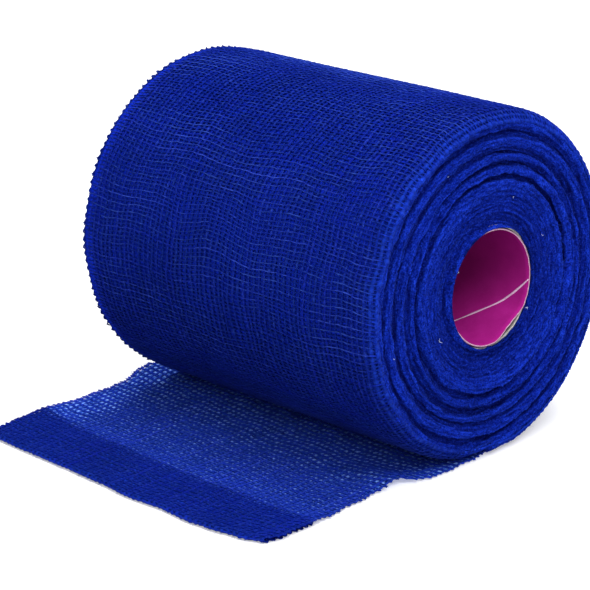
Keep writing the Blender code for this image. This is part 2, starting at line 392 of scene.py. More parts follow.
# ---------------------------------------------------------------- materials
class Nodes:
    def __init__(self, name):
        self.material = bpy.data.materials.new(name)
        self.material.use_nodes = True
        self.tree = self.material.node_tree
        self.shader = self.tree.nodes["Principled BSDF"]

    def add(self, kind, inputs=None, **settings):
        node = self.tree.nodes.new(kind)
        for key, value in settings.items():
            setattr(node, key, value)
        for key, value in (inputs or {}).items():
            self.put(node.inputs[key], value)
        return node

    def put(self, socket, value):
        if isinstance(value, bpy.types.NodeSocket):
            self.tree.links.new(value, socket)
        else:
            socket.default_value = value

    def math(self, operation, a, b=0.0, clamp=False):
        node = self.add("ShaderNodeMath", {0: a, 1: b}, operation=operation, use_clamp=clamp)
        return node.outputs[0]

    def mix(self, factor, a, b, blend="MIX"):
        node = self.add("ShaderNodeMix", data_type="RGBA", blend_type=blend)
        self.put(node.inputs["Factor"], factor)
        self.put(node.inputs[6], a)
        self.put(node.inputs[7], b)
        return node.outputs[2]

    def between(self, value, low, high, to_low=0.0, to_high=1.0):
        node = self.add(
            "ShaderNodeMapRange",
            {"Value": value, "From Min": low, "From Max": high, "To Min": to_low, "To Max": to_high},
        )
        return node.outputs[0]

    def noise(self, scale, detail=2.0, vector=None, roughness=0.5, distortion=0.0):
        node = self.add(
            "ShaderNodeTexNoise",
            {"Scale": scale, "Detail": detail, "Roughness": roughness, "Distortion": distortion},
        )
        if vector is not None:
            self.put(node.inputs["Vector"], vector)
        return node.outputs["Fac"]

    def place(self):
        return self.add("ShaderNodeTexCoord").outputs["Object"]

    def attribute(self, name):
        return self.add("ShaderNodeAttribute", attribute_name=name).outputs["Fac"]

    def bump(self, height, strength, distance):
        node = self.add("ShaderNodeBump", {"Height": height, "Strength": strength, "Distance": distance})
        self.put(self.shader.inputs["Normal"], node.outputs[0])

    def finish(self, **sockets):
        for key, value in sockets.items():
            self.put(self.shader.inputs[key.replace("_", " ")], value)
        return self.material


def rgb(r, g, b):
    return (r, g, b, 1.0)


def yarn_material(name, dark, body, light, sheen=0.06):
    """Dyed spun yarn: twisted fibres along the yarn, and uneven dye from yarn to yarn.
    deep is painted shade: how far the fibre lies down between its neighbours, painted darker there.
    Under 0 it stands out at a selvedge or fold and gets a painted highlight."""
    n = Nodes(name)
    uv = n.add("ShaderNodeUVMap", uv_map="yarn").outputs[0]
    part = n.add("ShaderNodeSeparateXYZ", {0: uv})
    u, v = part.outputs[0], part.outputs[1]
    tone = n.attribute("tone")
    pale = n.attribute("pale")
    twist = n.math("ADD", n.math("MULTIPLY", u, 9.0), n.math("MULTIPLY", v, 7.0))
    across = n.math("SUBTRACT", n.math("MULTIPLY", v, 9.0), n.math("MULTIPLY", u, 34.0))
    fibres = n.noise(
        1.0, 3.0,
        n.add("ShaderNodeCombineXYZ", {0: twist, 1: across, 2: n.math("MULTIPLY", tone, 13.0)}).outputs[0],
        0.6,
    )
    place = n.place()
    patches = n.noise(55.0, 2.0, place)
    fluff = n.noise(2300.0, 2.0, place, 0.75)
    amount = n.between(fibres, 0.32, 0.70)
    base = n.mix(amount, dark, body)
    lighter = n.math("MULTIPLY", n.between(fluff, 0.50, 0.76), n.between(pale, 0.0, 1.0, 0.18, 0.8))
    base = n.mix(lighter, base, light)
    # ridge: a painted highlight along the yarn's upper line, where pale is high
    ridge = n.math("MULTIPLY", n.math("POWER", n.math("MAXIMUM", pale, 0.0), 2.0), 1.1, clamp=True)
    base = n.mix(ridge, base, light)
    deep = n.attribute("deep")
    # painted highlight where deep is under 0, painted shade where it is over 0
    base = n.mix(n.math("MULTIPLY", deep, -1.0, clamp=True), base, rgb(0.010, 0.044, 0.54))
    base = n.mix(n.math("MAXIMUM", deep, 0.0), base, rgb(0.0006, 0.0014, 0.030))
    value = n.math("ADD", n.between(patches, 0.3, 0.7, -0.10, 0.10), n.math("MULTIPLY", tone, 0.09))
    hue = n.add(
        "ShaderNodeHueSaturation",
        {
            "Hue": n.math("ADD", n.math("MULTIPLY", tone, 0.001), 0.5),
            "Saturation": 1.0,
            "Value": n.math("ADD", value, 1.0),
            "Fac": 1.0,
            "Color": base,
        },
    ).outputs[0]
    n.bump(n.math("ADD", fibres, n.math("MULTIPLY", fluff, 0.8)), 0.6, 0.00012)
    n.put(n.shader.inputs["Roughness"], n.between(fibres, 0.2, 0.8, 1.0, 0.85))
    return n.finish(
        Base_Color=hue,
        Sheen_Weight=sheen,
        Sheen_Roughness=0.5,
        Sheen_Tint=rgb(0.30, 0.45, 1.0),
        Specular_IOR_Level=0.0,
    )


def fuzz_and_painted_light_material():
    """The fine coated fibres that fill the windows of the loose end's weave, with painted light. pale is 1 where
    the weave is pulled open and light comes through, painted pale blue here, and 0 where it lies double."""
    n = Nodes("window_fuzz_and_painted_light")
    place = n.place()
    fine = n.noise(1300.0, 2.0, place, 0.6)
    broad = n.noise(160.0, 2.0, place)
    opened = n.math("MULTIPLY", n.attribute("pale"), n.between(broad, 0.3, 0.7, 0.6, 1.2))
    colour = n.mix(n.between(fine, 0.40, 0.62), rgb(0.0022, 0.0110, 0.180), rgb(0.0060, 0.0280, 0.320))
    # painted light seen through the open windows
    painted_through_light = n.mix(n.between(fine, 0.42, 0.58), rgb(0.022, 0.092, 0.48), rgb(0.210, 0.380, 0.92))
    colour = n.mix(n.math("MULTIPLY", opened, 1.0, clamp=True), colour, painted_through_light)
    n.bump(fine, 0.4, 0.0001)
    return n.finish(Base_Color=colour, Roughness=0.95, Specular_IOR_Level=0.0)


def felt_material():
    """The matted selvedges at the roll's ends, one dye with the yarns."""
    n = Nodes("felted_selvedges")
    place = n.place()
    tone, pale, deep = n.attribute("tone"), n.attribute("pale"), n.attribute("deep")
    part = n.add("ShaderNodeSeparateXYZ", {0: n.add("ShaderNodeUVMap", uv_map="yarn").outputs[0]})
    streaks = n.noise(
        1.0, 3.0,
        n.add("ShaderNodeCombineXYZ", {
            0: n.math("MULTIPLY", part.outputs[0], 9.0),
            1: n.math("MULTIPLY", part.outputs[1], 40.0),
        }).outputs[0],
        0.6,
    )
    fibres = n.math("ADD", n.math("MULTIPLY", n.noise(1250.0, 3.0, place, 0.65), 0.45), n.math("MULTIPLY", streaks, 0.55))
    fine = n.noise(2500.0, 2.0, place, 0.7)
    patches = n.noise(90.0, 2.0, place)
    colour = n.mix(n.between(fibres, 0.42, 0.56), rgb(0.0006, 0.0026, 0.075), rgb(0.0032, 0.0150, 0.275))
    # painted highlight from pale, on the face's raised and front parts
    lighter = n.math("MULTIPLY", n.between(fine, 0.46, 0.64), n.between(pale, 0.0, 1.0, 0.10, 1.0))
    colour = n.mix(lighter, colour, rgb(0.012, 0.048, 0.56))
    colour = n.mix(n.math("MULTIPLY", pale, 0.22), colour, rgb(0.006, 0.032, 0.44))
    # painted shade from deep, in the face's hollows
    colour = n.mix(deep, colour, rgb(0.0010, 0.0034, 0.078))
    specks = n.math("MULTIPLY", n.between(fine, 0.56, 0.66), n.math("ADD", n.math("MULTIPLY", deep, 0.45), 0.18))
    colour = n.mix(specks, colour, rgb(0.016, 0.034, 0.32))
    value = n.math("ADD", n.between(patches, 0.3, 0.7, 0.90, 1.10), n.math("MULTIPLY", tone, 0.06))
    hue = n.add(
        "ShaderNodeHueSaturation",
        {"Hue": 0.5, "Saturation": 1.0, "Value": value, "Fac": 1.0, "Color": colour},
    ).outputs[0]
    n.bump(n.math("ADD", fibres, n.math("MULTIPLY", fine, 0.6)), 0.8, 0.0003)
    return n.finish(
        Base_Color=hue,
        Roughness=0.95,
        Sheen_Weight=0.04,
        Sheen_Roughness=0.5,
        Sheen_Tint=rgb(0.15, 0.30, 1.0),
        Specular_IOR_Level=0.0,
    )


def under_turn_material():
    """The turn that shows through the holes of the outer one: the same weave, in its shade."""
    n = Nodes("under_turn")
    uv = n.add("ShaderNodeUVMap", uv_map="yarn").outputs[0]
    place = n.place()
    shift = n.add("ShaderNodeTexNoise", {"Scale": 75.0, "Detail": 1.0})
    n.put(shift.inputs["Vector"], place)
    part = n.add("ShaderNodeSeparateXYZ", {0: uv})
    moved = n.between(shift.outputs["Fac"], 0.3, 0.7, -0.09, 0.09)
    u = n.math("ADD", part.outputs[0], moved)
    v = n.math("ADD", part.outputs[1], n.math("MULTIPLY", moved, 0.5))

    def band(coordinate, pitch, share):
        wave = n.math("PINGPONG", n.math("MULTIPLY", coordinate, 10.0 / pitch), 0.5)
        return n.between(wave, share - 0.10, share + 0.10)

    weft = band(u, WEFT_PITCH, 0.27)
    warp = band(v, 1.66, 0.24)
    lattice = n.math("MAXIMUM", weft, warp)
    fluff = n.noise(1900.0, 3.0, place, 0.7)
    colour = n.mix(lattice, rgb(0.0028, 0.0115, 0.250), rgb(0.0046, 0.0190, 0.38))
    colour = n.mix(n.between(fluff, 0.45, 0.75, 0.0, 0.35), colour, rgb(0.007, 0.030, 0.46))
    n.bump(n.math("ADD", lattice, n.math("MULTIPLY", fluff, 0.5)), 0.8, 0.0003)
    return n.finish(Base_Color=colour, Roughness=0.95, Specular_IOR_Level=0.0)


def board_material():
    n = Nodes("core_board")
    place = n.place()
    part = n.add("ShaderNodeSeparateXYZ", {0: place})
    pulp = n.noise(
        1.0, 4.0,
        n.add("ShaderNodeCombineXYZ", {
            0: n.math("MULTIPLY", part.outputs[0], 900.0),
            1: n.math("MULTIPLY", part.outputs[1], 2600.0),
            2: n.math("MULTIPLY", part.outputs[2], 900.0),
        }).outputs[0],
        0.65,
    )
    flecks = n.noise(2400.0, 2.0, place, 0.6)
    colour = n.mix(n.between(pulp, 0.3, 0.7), rgb(0.34, 0.31, 0.25), rgb(0.62, 0.58, 0.49))
    colour = n.mix(n.between(flecks, 0.62, 0.72, 0.0, 0.5), colour, rgb(0.24, 0.20, 0.15))
    # painted shade: dark a little past the -Y cut edge, deep in the slit behind the coloured ply
    inner = n.between(part.outputs[1], -0.0530, -0.0519)
    colour = n.mix(inner, colour, rgb(0.050, 0.045, 0.050))
    n.bump(pulp, 0.5, 0.0001)
    return n.finish(Base_Color=colour, Roughness=0.85, Specular_IOR_Level=0.25)


def liner_material():
    n = Nodes("core_liner_paper")
    place = n.place()
    cloud = n.noise(240.0, 3.0, place)
    grain = n.noise(2600.0, 3.0, place, 0.6)
    colour = n.mix(n.between(cloud, 0.3, 0.7), rgb(0.31, 0.010, 0.180), rgb(0.37, 0.014, 0.220))
    colour = n.mix(n.between(grain, 0.55, 0.8, 0.0, 0.4), colour, rgb(0.44, 0.035, 0.28))
    # painted shade: darker on the upper side of the bore
    height = n.add("ShaderNodeSeparateXYZ", {0: place}).outputs[2]
    colour = n.mix(n.between(height, 0.034, 0.058, 0.0, 0.85), colour, rgb(0.09, 0.0004, 0.050))
    n.bump(grain, 0.25, 0.00005)
    n.put(n.shader.inputs["Roughness"], n.between(cloud, 0.3, 0.7, 0.46, 0.58))
    return n.finish(Base_Color=colour, Specular_IOR_Level=0.0)


def cut_edge_material(name, low, high):
    """Raw cut paper."""
    n = Nodes(name)
    place = n.place()
    grain = n.noise(3200.0, 3.0, place, 0.7)
    broad = n.noise(420.0, 2.0, place)
    colour = n.mix(n.between(grain, 0.3, 0.7), low, high)
    colour = n.mix(n.between(broad, 0.52, 0.75, 0.0, 0.5), colour, low)
    n.bump(grain, 0.6, 0.00008)
    return n.finish(Base_Color=colour, Roughness=0.8, Specular_IOR_Level=0.3)


def floor_material():
    n = Nodes("studio_floor")
    place = n.place()
    mottle = n.noise(3.0, 3.0, place)
    colour = n.mix(n.between(mottle, 0.3, 0.7), rgb(0.69, 0.69, 0.695), rgb(0.71, 0.71, 0.715))
    return n.finish(
        Base_Color=colour, Roughness=0.7, Specular_IOR_Level=0.2,
        Emission_Color=rgb(1.0, 1.0, 1.0), Emission_Strength=0.35,
    )


# ---------------------------------------------------------------- the outer turn
def roll_edges(a):
    """The outer turn's two selvedges at each angle, in mm along the cloth."""
    near = -51.15 + 0.16 * wander(31, a * ROLL_RADIUS, a * 0, 17, 17)
    far = 49.1 + 0.15 * wander(32, a * ROLL_RADIUS, a * 0, 21, 21)
    return near, far


def roll_place(s, c):
    """The outer turn's cloth: s is mm round the roll from its lowest line, and c the share
    across. Gives the angle and the place along the cloth."""
    # weft lines waver along their length, alike with those beside them
    bend = 0.36 * wander(11, s, c * 95, 30, 24) + 0.10 * wander(12, s, c * 95, 10, 9)
    bend = bend + 0.05 * wander(15, s, c * 95, 3.5, 4)
    a = np.clip((s + bend * ramp(s, 2, 12) * (1 - ramp(s, 262, 270))) / 43.2, 0.012, 2 * math.pi - 0.02)
    near, far = roll_edges(a)
    y = near + (far - near) * c + (0.20 * wander(13, s, c * 95, 23, 12) + 0.09 * wander(14, s, c * 95, 6, 5)) * (
        1 - np.abs(2 * c - 1) ** 6
    )
    return a, y


def roll_points(s, c, lift):
    """Points of the outer turn's cloth, that many mm over its middle, and its normals."""
    a, v = roll_place(s, c)
    lean = np.maximum(SHOULDER_START - v, 0.0) / SHOULDER_RADIUS
    y = np.maximum(v, SHOULDER_START) - SHOULDER_RADIUS * np.sin(lean)
    drop = SHOULDER_RADIUS * (1 - np.cos(lean)) + 0.42 * ramp(c, 0.95, 1.0)
    deep = 0.46 - lift
    centre = on_roll(a, y + deep * np.sin(lean), drop + deep * np.cos(lean))
    up = np.stack([np.sin(a) * np.cos(lean), -np.sin(lean), -np.cos(a) * np.cos(lean)], -1)
    return centre, up


def outer_turn(material):
    rng = np.random.default_rng(5)
    total = int(2 * math.pi * 43.2 / WEFT_PITCH)
    made = []
    c = np.arange(WARPS) / (WARPS - 1)
    tone = rng.normal(0, 1, WARPS).clip(-2, 2)
    points = total * 2 + 1
    count = np.linspace(0, total, points)
    # warps, in two halves of the width
    s = np.broadcast_to((count + 0.5) * WEFT_PITCH, (WARPS, points))
    cc = np.broadcast_to(c[:, None], (WARPS, points))
    crossing = np.cos(math.pi * (count[None] + np.arange(WARPS)[:, None]))
    lift = 0.07 * crossing - 0.03 + 0.03 * rng.normal(0, 1, (WARPS, points))
    centre, up = roll_points(s, cc, lift)
    centre[..., 1] += 0.05 * rng.normal(0, 1, (WARPS, points))
    along = unit(np.gradient(centre, axis=1))
    side = unit(np.cross(along, up))
    half_w = 0.42 * (1 + 0.14 * wander(21, s, cc * 95, 7, 1.2) + 0.15 * rng.normal(0, 1, (WARPS, points)))
    half_w = half_w * (1 + 0.08 * crossing)
    half_h = 0.19 * (1 + 0.12 * rng.normal(0, 1, (WARPS, points)))
    rim = np.zeros(WARPS)
    rim[:3] = 0.36, 0.27, 0.06
    half_w = half_w * (1 + 0.8 * rim)[:, None]
    half_w[-1] *= 0.85
    half_h[-1] *= 1.3
    pale = (0.09 + 0.13 * rng.normal(0, 1, (WARPS, points))).clip(0, 0.6)
    # painted shade: the cloth is darker towards the lowest line; the +Y selvedge is darker too
    low = 0.32 * ramp(s, 190, 250) + 0.20 * ramp(cc, 0.955, 1.0)
    # painted highlight on the three warps at the -Y selvedge, with the painted shade of low
    painted_light_shade = low - (rim[:, None] * (1 + 0.5 * rng.normal(0, 1, (WARPS, points)))).clip(0, 1)
    for name, part in (("outer_turn_warps_near", slice(0, 30)), ("outer_turn_warps_far", slice(30, WARPS))):
        w = Weave()
        w.tubes(centre[part], side[part], up[part], half_w[part], half_h[part], 4, tone[part], pale[part], painted_light_shade[part], crest=0.12)
        made.append(w.make(name, material))
    # wefts, each bent round the selvedge towards the next. Every second one is a paler, harder
    # spun thread, its paleness a painted highlight along its upper line
    inner = np.linspace(0, WARPS - 1, (WARPS - 1) * 2 + 1)
    j = np.concatenate([[-0.20, -0.10], inner, [WARPS - 0.90, WARPS - 0.80]])
    k = np.arange(total)
    shape = (total, len(j))
    hook = np.zeros(len(j))
    hook[:2], hook[-2:] = (0.46, 0.2), (0.2, 0.46)
    left = np.where(k % 2 == 0, 1.0, -1.0)
    towards = np.where(j < 10, 1.0, -1.0)
    s = ((k + 0.5)[:, None] + left[:, None] * towards[None] * hook[None]) * WEFT_PITCH
    # the loops at the +Y selvedge stand out unevenly
    loop = np.abs(rng.normal(0.75, 0.45, total)) * np.where(k % 2 == 0, 1.25, 0.75)
    place = np.repeat(j[None], total, 0)
    place[:, -2] += 0.03 * loop
    place[:, -1] += 0.06 * loop
    cc = place / (WARPS - 1)
    crossing = np.cos(math.pi * (j[None] + k[:, None]))
    crossing[:, :2] *= 0.3
    crossing[:, -2:] *= 0.3
    light = (k % 2 == 0)[:, None]
    lift = np.where(light, 0.13, 0.06) - 0.07 * crossing + 0.025 * rng.normal(0, 1, shape)
    lift[:, -4:] += np.array((0.02, 0.07, 0.14, 0.15)) * loop[:, None]
    centre, up = roll_points(s, cc, lift)
    jitter = 0.035 * rng.normal(0, 1, shape)
    centre[..., 0] += jitter * up[..., 2]
    centre[..., 2] -= jitter * up[..., 0]
    along = unit(np.gradient(centre, axis=1))
    side = unit(np.cross(along, up))
    half_w = np.where(light, 0.21, 0.27) * (1 + 0.14 * wander(22, s, cc * 95, 1.1, 9) + 0.18 * rng.normal(0, 1, shape))
    half_h = 0.17 * (1 + 0.10 * rng.normal(0, 1, shape))
    half_w[:, -3:] *= np.array((1.2, 1.6, 1.5))
    half_h[:, -3:] *= np.array((1.2, 1.6, 1.6))
    glint = 0.54 + 0.20 * wander(24, s, cc * 95, 26, 31) + 0.20 * rng.normal(0, 1, shape)
    # painted highlight, weaker near the lowest line
    glint = glint * (1 - 0.45 * ramp(s, 195, 245)) * (1 - 0.35 * ramp(-s, -70, -25))
    crest = np.where(light, glint, 0.12 + 0.12 * rng.normal(0, 1, shape)).clip(0, 1)
    # painted highlight on the wefts by the -Y selvedge
    rim = 0.30 * (1 - ramp(j, 0.8, 2.0))[None] * (1 + 0.5 * rng.normal(0, 1, shape))
    crest = crest * (1 - ramp(-j, -1.6, -0.4))[None]
    w = Weave()
    # painted shade towards the lowest line; the +Y selvedge is darker too
    low = 0.32 * ramp(s, 190, 250) + 0.20 * ramp(cc, 0.955, 1.0)
    w.tubes(centre, side, up, half_w, half_h, 3, rng.normal(0, 1, total).clip(-2, 2), 0.03, low - rim.clip(0, 1), crest=crest)
    made.append(w.make("outer_turn_wefts", material))
    return made


# ---------------------------------------------------------------- the wound turns
def face_back(steps, share, a):
    """How far the end face is set back at a share of the radius, at an angle."""
    moved = share
    for _ in range(2):
        amount = straight([(s, w) for s, _, w, _ in steps], moved, 1)
        phase = straight([(s, p) for s, _, _, p in steps], moved, 1)
        moved = share - amount * np.sin(a - np.radians(phase)) / ROLL_RADIUS
    back = straight([(s, b) for s, b, _, _ in steps], moved, 1)
    uneven = 0.25 * np.sin(2 * a + 30 * share) * ramp(share, 0.42, 0.6) * (1 - ramp(share, 0.90, 0.94))
    return back + uneven


def roll_radius_at(share, a):
    """mm from the axis of a turn, which follows the outer turn near the outside."""
    return share * ROLL_RADIUS + (outer_radius(a) - ROLL_RADIUS) * ramp(share, 0.86, 0.99)


def pressed(r, a, y):
    z = AXIS_Z - r * np.cos(a)
    outer = outer_radius(a)
    under = np.where(a % (2 * math.pi) > math.pi, CLOTH + CLEARANCE, 0.0)
    low = under + 0.35 + 0.5 * np.maximum(outer - r - 0.8, 0.0)
    return np.stack([r * np.sin(a), y, np.maximum(z, low)], -1)


def wound_turns(barrel):
    """The turn under the outer one, closed at both ends behind the end faces."""
    around = 180
    a = 2 * math.pi * (np.arange(around) + 0.5) / around
    rows = [(0.37, -46.2), (0.70, -46.2)]
    rows += [(0.0, y) for y in np.linspace(-46.6, 43.4, 22)] + [(0.0, y) for y in (45.0, 46.5, 47.9, 49.1)]
    rows += [(0.955, 47.6), (0.70, 46.0), (0.37, 46.0)]
    points = np.zeros((len(rows), around, 3))
    for i, (share, y) in enumerate(rows):
        if share:
            points[i] = pressed(roll_radius_at(share, a), a, y * np.ones(around))
        else:
            deep = 0.79 - 0.12 * ramp(y, 45.0, 48.5) + 0.02 * wander(47, y * np.ones(around), a * 43, 9, 9)
            points[i] = on_roll(a, y * np.ones(around), deep)
    quads = grid(points, closed_u=True, closed_v=True)
    # u round the roll and v along the axis, in cm
    u = np.arange(around + 1) / around * 2 * math.pi * 4.22
    v = np.array([r[1] for r in rows] + [rows[0][1]]) / 10 + 5
    uu = np.stack([np.tile(u[:-1], len(rows)), np.tile(u[:-1], len(rows)), np.tile(u[1:], len(rows)), np.tile(u[1:], len(rows))], -1)
    vv = np.stack([np.repeat(v[:-1], around), np.repeat(v[1:], around), np.repeat(v[1:], around), np.repeat(v[:-1], around)], -1)
    uv = np.stack([uu, vv], -1).reshape(-1, 2)
    f = np.arange(around + 1) / around
    run = np.concatenate([[0], np.cumsum(np.maximum(np.linalg.norm(np.diff(np.concatenate([points, points[:1]]), axis=0), axis=-1).mean(1), 0.4))])
    run = run / run[-1]
    bu = np.stack([np.tile(f[:-1], len(rows)), np.tile(f[:-1], len(rows)), np.tile(f[1:], len(rows)), np.tile(f[1:], len(rows))], -1)
    bv = np.stack([np.repeat(run[:-1], around), np.repeat(run[1:], around), np.repeat(run[1:], around), np.repeat(run[:-1], around)], -1)
    bake = np.stack([bu, bv], -1).reshape(-1, 2)
    return mesh(
        "wound_turns", points.reshape(-1, 3), quads.ravel(), np.full(len(quads), 4), barrel,
        uv=uv, bake=bake,
    )


def end_face(name, end, columns, count, material, seed):
    """One end of the roll: the felted selvedges of all the turns, in shingled groups. Its rows
    run from a lip inside the bore to under the outer turn's edge."""
    rng = np.random.default_rng(seed)
    steps = NEAR_STEPS if end < 0 else FAR_STEPS
    table = np.array([(s * ROLL_RADIUS, b, w, p) for s, b, w, p in steps])
    run = np.concatenate([[0], np.cumsum(np.hypot(np.diff(table[:, 0]), np.diff(table[:, 1])))])
    at = np.linspace(0, run[-1], count)
    r, back, amount, phase = (np.interp(at, run, table[:, i]) for i in range(4))
    # rounder crests and valleys, away from the two rims
    soft = np.convolve(np.pad(back, 2, mode="edge"), (0.12, 0.22, 0.32, 0.22, 0.12), "valid")
    inside = ramp(np.arange(count), 4, 10) * (1 - ramp(np.arange(count), count - 10, count - 4))
    back = back + (soft - back) * inside
    lip = np.array([(15.46, 5.0), (15.44, 3.2), (15.38, 2.0)])
    if end > 0:
        lip = lip + np.array((0.1, 0.0))
    else:
        lip = lip - np.array((0.0, 0.5))
    r = np.concatenate([lip[:, 0], r])[:, None]
    back = np.concatenate([lip[:, 1], back])[:, None]
    amount = np.concatenate([np.zeros(3), amount])[:, None]
    phase = np.concatenate([np.zeros(3), phase])[:, None]
    at = np.concatenate([(-3.0, -2.0, -1.0), at])[:, None]
    a = (2 * math.pi * np.arange(columns) / columns)[None]
    share = r / ROLL_RADIUS
    middle = ramp(share, 0.42, 0.6) * (1 - ramp(share, 0.88, 0.92))
    y = back + 0.25 * np.sin(2 * a + 30 * share) * middle
    grown = r + amount * np.sin(a - np.radians(phase))
    grown = grown + (outer_radius(a) - ROLL_RADIUS) * ramp(share, 0.86, 0.99)
    rr, aa, yy = np.broadcast_arrays(grown, a, y)

    def placed(radius, depth):
        return pressed(radius, aa, end * (ROLL_HALF - depth))

    flat = placed(rr, yy)
    du = np.gradient(flat, axis=0)
    dv = np.roll(flat, -1, 1) - np.roll(flat, 1, 1)
    normal = unit(np.cross(du, dv)) * (-end)
    # the turns' edges as low uneven ridges, then matted fibres
    s = rr * aa
    ridge = rr / 1.02 - aa / (2 * math.pi) + 0.16 * wander(seed + 1, s, rr * 9, 21, 40)
    size = 0.7 + 0.5 * wander(seed + 2, s, rr * 6, 13, 20)
    ridge = np.sin(2 * math.pi * ridge) * size.clip(0, 1.6)
    matted = 0.6 * wander(seed + 3, s, at * 1.0, 1.7, 1.0, 16) + 0.5 * wander(seed + 4, s, at * 1.0, 3.6, 2.6, 12)
    lumps = wander(seed + 6, s, at * 1.0, 9.0, 4.0, 12)
    grain = rng.normal(0, 1, rr.shape)
    # mostly drawn out along the turn
    long = sum(np.roll(grain, step, 1) for step in range(-3, 4)) / math.sqrt(7)
    grain = 0.55 * grain + 0.85 * long
    shown = ramp(at, 0.0, 1.0) * (1 - ramp(share, 0.935, 0.955))
    relief = (0.23 * ridge + 0.08 * matted + 0.07 * lumps + 0.09 * grain) * shown
    points = flat + normal * relief[..., None]
    points[..., 2] = np.maximum(points[..., 2], 0.02)
    # painted highlight: paler where the face is set back least
    painted_light_shade = 1.0 - ramp(yy, 0.1, 1.4)
    # the outward faces of the steps are whole turns of cloth, the others only their edges; the steps get painted
    # highlight and less painted shade
    steep = ramp(np.gradient(back[:, 0]) / np.maximum(np.gradient(r[:, 0]), 0.02), 0.7, 1.6)[:, None]
    steep = steep * ramp(share, 0.50, 0.56) * (1 - ramp(share, 0.90, 0.93))
    # painted highlight on the outermost group's rim and on the lip in the bore
    rim = ramp(share, 0.895, 0.925) * (1 - ramp(share, 0.934, 0.95)) + 0.5 * (1 - ramp(share, 0.345, 0.352))
    # pale: painted highlight on the front of the face, the rims, the steps and the raised ridges, matted fibres, lumps
    # and grain
    pale = 0.04 + 0.28 * painted_light_shade + 0.16 * steep + 0.45 * rim + 0.28 * ridge + 0.22 * grain + 0.12 * matted + 0.05 * lumps
    tone = 0.6 * wander(seed + 5, s, at * 1.0, 30, 3.0) + 0.8 * rng.normal(0, 1, rr.shape)
    inmost = 1 - 0.42 * (1 - ramp(share, 0.47, 0.56))
    # deep: painted shade in the set-back hollows and between the ridges, less on the steps and near the core
    deep = 0.82 * ramp(yy, 0.5, 1.9) * (1 - 0.35 * steep) * inmost - 0.32 * ridge - 0.12 * matted - 0.10 * grain + 0.05
    hidden = ramp(share, 0.932, 0.945)
    deep = deep * (1 - hidden) + 0.10 * hidden
    order = np.arange(len(points)) if end < 0 else np.arange(len(points))[::-1]
    points, pale, tone, deep = points[order], pale[order], tone[order], deep[order]
    quads = grid(points, closed_u=True, closed_v=True)
    n = len(points)
    arc = at[:, 0][order] / 10
    arc = np.concatenate([arc, arc[:1]])
    f = np.arange(columns + 1) / columns
    g = np.arange(n + 1) / n
    bu = np.stack([np.tile(f[:-1], n), np.tile(f[:-1], n), np.tile(f[1:], n), np.tile(f[1:], n)], -1)
    bv = np.stack([np.repeat(g[:-1], columns), np.repeat(g[1:], columns), np.repeat(g[1:], columns), np.repeat(g[:-1], columns)], -1)
    # u round the face and v across the turns, in cm
    across = np.stack([np.repeat(arc[:-1], columns), np.repeat(arc[1:], columns), np.repeat(arc[1:], columns), np.repeat(arc[:-1], columns)], -1)
    return mesh(
        name, points.reshape(-1, 3), quads.ravel(), np.full(len(quads), 4), material,
        uv=np.stack([bu * 2 * math.pi * 3.0, across], -1).reshape(-1, 2),
        bake=np.stack([bu, bv], -1).reshape(-1, 2),
        tone=tone.reshape(-1), pale=pale.clip(0, 1).reshape(-1), deep=deep.clip(0, 1).reshape(-1),
    )


# ---------------------------------------------------------------- the loose end
def tail_line(m, c):
    """The loose end's middle surface at thread m from the fold and share c across: x and z."""
    fold = eased(END_EDGE, c, 1)
    cut = eased(END_EDGE, c, 2)
    low, high = 0.42, 1.30
    half = (high - low) / 2
    # the turned-under threads lie between those over them
    thread = np.abs(m) + 0.25 * ramp(-m, 0.4, 3.0)
    near = straight(WEFT_PLACES, thread, 1)
    far = straight(WEFT_PLACES, thread, 2)
    out = near + (far - near) * c
    out = out * ((fold + 76.5) * -1 * (1 - ramp(out, 0, 70)) + 75.5) / 75.5
    length = np.sign(m) * out
    arc = half * math.pi / 2
    turn = np.clip(length / half, -math.pi / 2, math.pi / 2)
    start = fold + 0.45
    x = start + half * (1 - np.cos(turn)) + np.maximum(np.abs(length) - arc, 0.0)
    z = (low + high) / 2 + half * np.sin(turn)
    fall = ramp(x - cut, -0.5, 6.5)
    z = np.where(length > 0, z - (z - low) * fall, z)
    return x, z, length


def tail_point(m, c):
    x, z, length = tail_line(m, c)
    loose = ramp(length, 2.0, 8.0)
    x = x + 0.22 * wander(51, x, c * 100, 18, 13) * loose * (1 - ramp(x, -12, -4))
    near, far = eased(SELVEDGES, x, 1), eased(SELVEDGES, x, 2)
    y = near + (far - near) * c + 0.80 * ramp(-length, 0.5, 5.0)
    y = y + (0.13 * wander(52, x, c * 100, 15, 9)) * (1 - np.abs(2 * c - 1) ** 8)
    y = y + (0.22 * wander(53, x, c * 0, 9, 5)) * np.abs(2 * c - 1) ** 8
    over = np.zeros_like(x)
    for px, py, wide, deep, high in LIFTS:
        away = ((x - px) / wide) ** 2 + ((y - py) / deep) ** 2
        over = over + high * np.exp(-away) * ramp(6.0 - away, 0.0, 3.0)
    over = over + 0.10 * (wander(54, x, y, 16, 12) + 1.2).clip(0, 3) * ramp(length, 6, 20)
    z = z + over * ramp(length, 1.0, 6.0) * (1 - ramp(x, -16, -7) * 0.9)
    return np.stack([x, y, z], -1)


def tail_frame(m, c):
    """Points and surface normals of the loose end."""
    here = tail_point(m, c)
    dm = tail_point(m + 0.06, c) - tail_point(m - 0.06, c)
    dc = tail_point(m, np.clip(c + 0.004, 0, 1)) - tail_point(m, np.clip(c - 0.004, 0, 1))
    return here, unit(np.cross(dm, dc))


def tail_openness(here, c):
    """Where the loose end's weave is pulled open: by the roll and along its +Y selvedge."""
    by_roll = ramp(here[..., 0], -46, -22)
    by_edge = ramp(c, 0.80, 0.97) * ramp(here[..., 0], -70, -50)
    return np.maximum(by_roll, by_edge)


def tail_single(here, c, m):
    """1 where the loose end lies single, and 0 where it is turned under."""
    return ramp(here[..., 0] - eased(END_EDGE, c, 2), -2.0, 2.0) * (m > 0)


